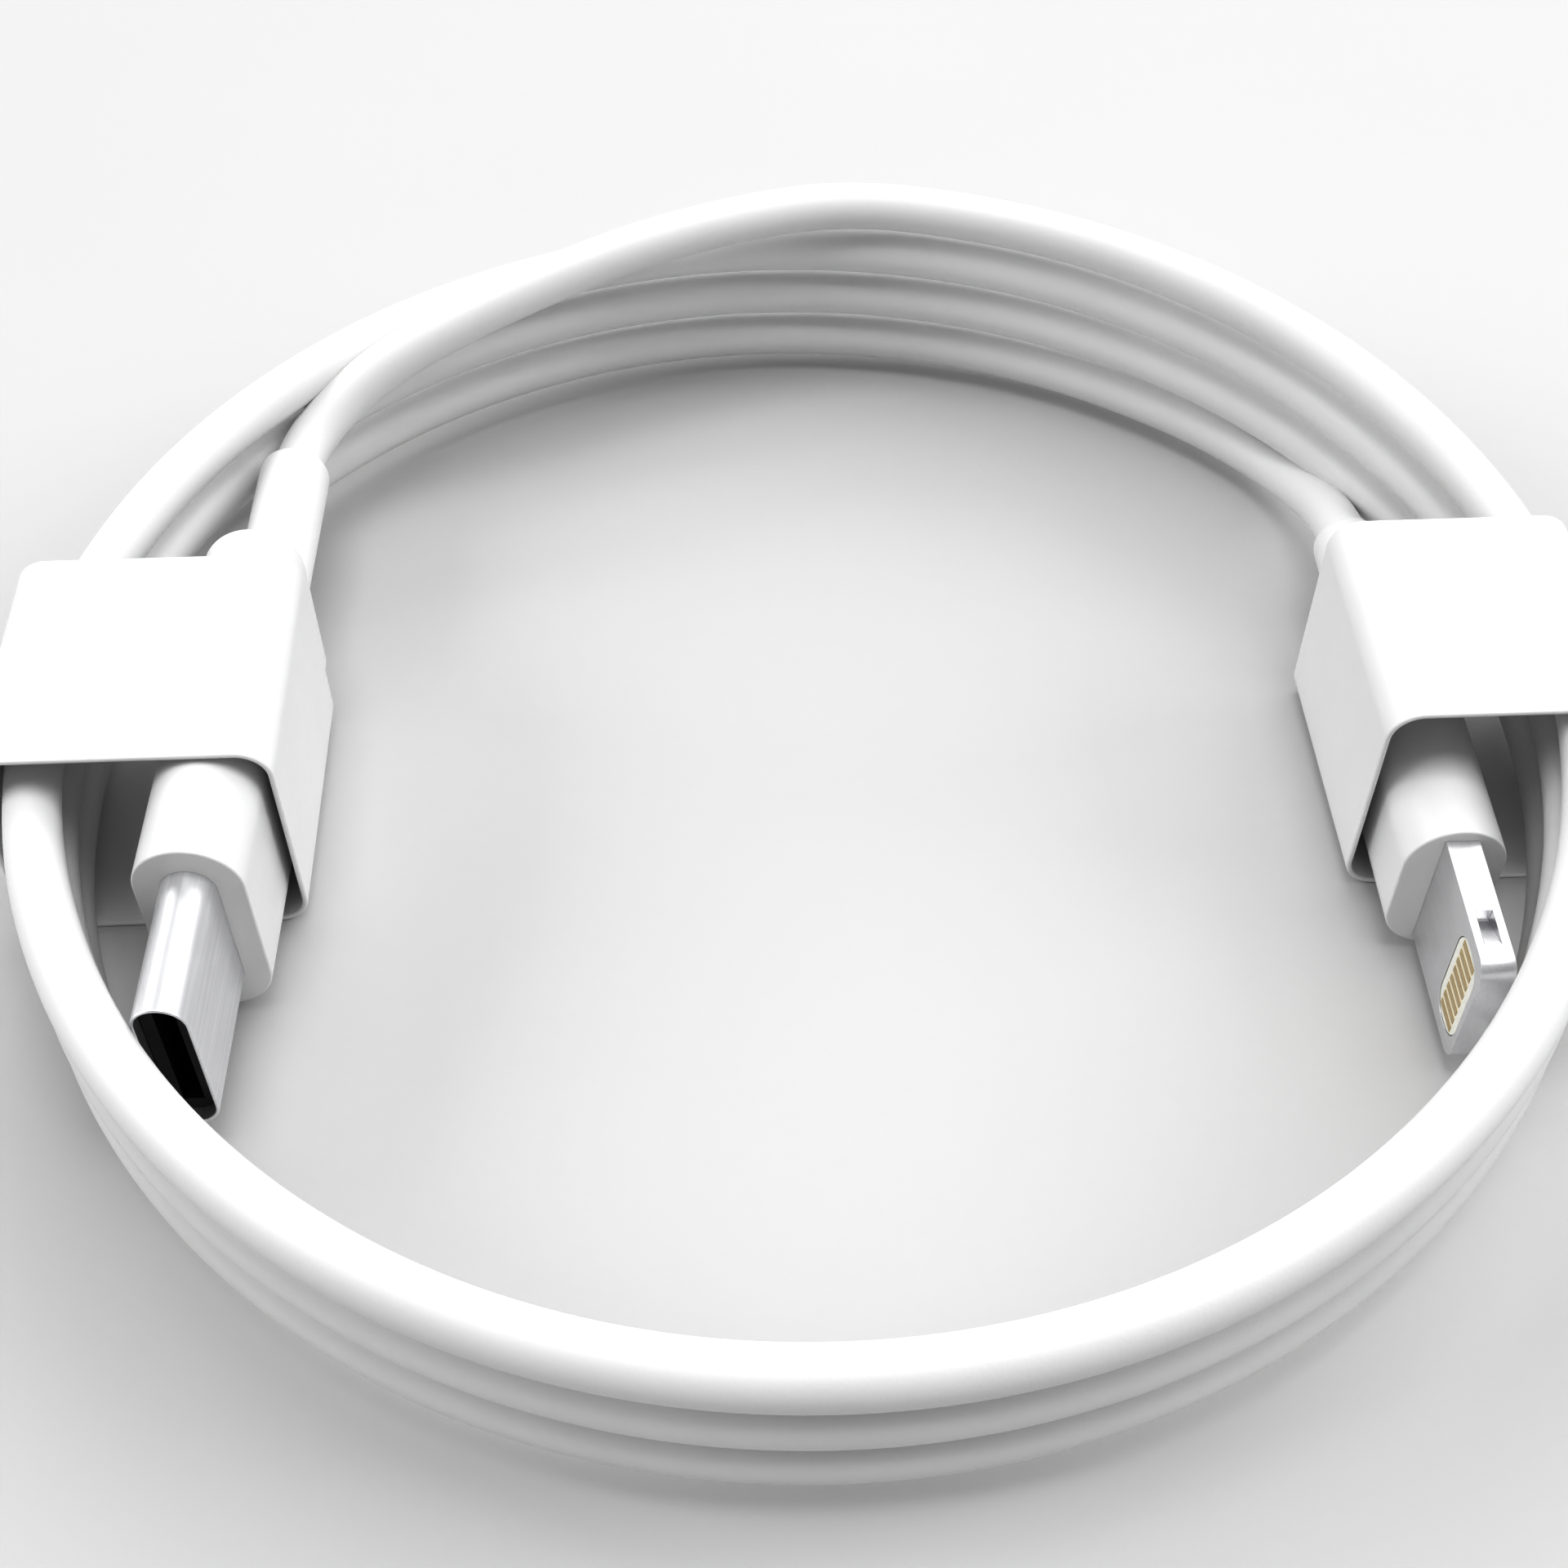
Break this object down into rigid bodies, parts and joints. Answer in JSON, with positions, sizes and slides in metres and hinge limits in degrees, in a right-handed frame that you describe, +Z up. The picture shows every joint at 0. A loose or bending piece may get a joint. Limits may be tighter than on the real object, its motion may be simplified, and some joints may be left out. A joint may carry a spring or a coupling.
{
  "type": "charging cable",
  "caption": "White round charging cable with a reversible metal-shell plug and a slim tab plug, wound into a stacked ring held by two thin sleeves.",
  "frame": {"origin": "middle of the wound ring, on the surface that the sleeves rest on", "axes": "+Z up along the ring's axis; both plugs point towards -Y; +X from the reversible plug to the slim plug"},
  "size_m": [0.0732, 0.072, 0.0123],
  "materials": {
    "cable_jacket": "satin white thermoplastic elastomer",
    "sleeve_film": "thin white packing film, satin",
    "housing": "white moulded plastic, semi gloss",
    "collar": "white elastomer, satin",
    "crimp": "plain",
    "shell": "brushed along the plug",
    "liner": "black moulded plastic",
    "latch": "plain",
    "contacts": "gold plated",
    "board": "solder mask",
    "can": "tinned sheet",
    "chip": "moulded package",
    "capacitor": "ceramic",
    "tab_metal": "brushed along the plug",
    "pad": "pale moulded plastic",
    "wire_red": "insulation",
    "wire_black": "insulation",
    "wire_green": "insulation",
    "wire_white": "insulation"
  },
  "bodies": {
    "root": {"coil": "cable_jacket", "c_lead": "cable_jacket", "tab_lead": "cable_jacket", "c_housing": "housing", "c_collar": "collar", "c_jacket": "cable_jacket", "c_crimp": "crimp", "c_shell": "shell", "c_liner": "liner", "c_latch": "latch", "c_contacts_a": "contacts", "c_contacts_b": "contacts", "c_board": "board", "c_can": "can", "c_chip": "chip", "c_capacitors": "capacitor", "c_wire_red": "wire_red", "c_wire_black": "wire_black", "c_wire_green": "wire_green", "c_wire_white": "wire_white", "tab_housing": "housing", "tab_collar": "collar", "tab_jacket": "cable_jacket", "tab_crimp": "crimp", "tab_frame": "tab_metal", "tab_pad_a": "pad", "tab_pad_b": "pad", "tab_board": "board", "tab_can_a": "can", "tab_can_b": "can", "tab_chip": "chip", "tab_wire_red": "wire_red", "tab_wire_black": "wire_black", "tab_wire_green": "wire_green", "tab_wire_white": "wire_white", "tab_contact_a1": "contacts", "tab_contact_a2": "contacts", "tab_contact_a3": "contacts", "tab_contact_a4": "contacts", "tab_contact_a5": "contacts", "tab_contact_a6": "contacts", "tab_contact_a7": "contacts", "tab_contact_a8": "contacts", "tab_contact_b1": "contacts", "tab_contact_b2": "contacts", "tab_contact_b3": "contacts", "tab_contact_b4": "contacts", "tab_contact_b5": "contacts", "tab_contact_b6": "contacts", "tab_contact_b7": "contacts", "tab_contact_b8": "contacts"},
    "left_sleeve": {"left_sleeve": "sleeve_film"},
    "right_sleeve": {"right_sleeve": "sleeve_film"}
  },
  "joints": [
    {"name": "left_sleeve_slide", "type": "slide", "parent": "root", "child": "left_sleeve", "axis": [0, 1, 0], "range_m": [-0.005, 0.003]},
    {"name": "right_sleeve_slide", "type": "slide", "parent": "root", "child": "right_sleeve", "axis": [0, 1, 0], "range_m": [-0.005, 0.003]}
  ]
}
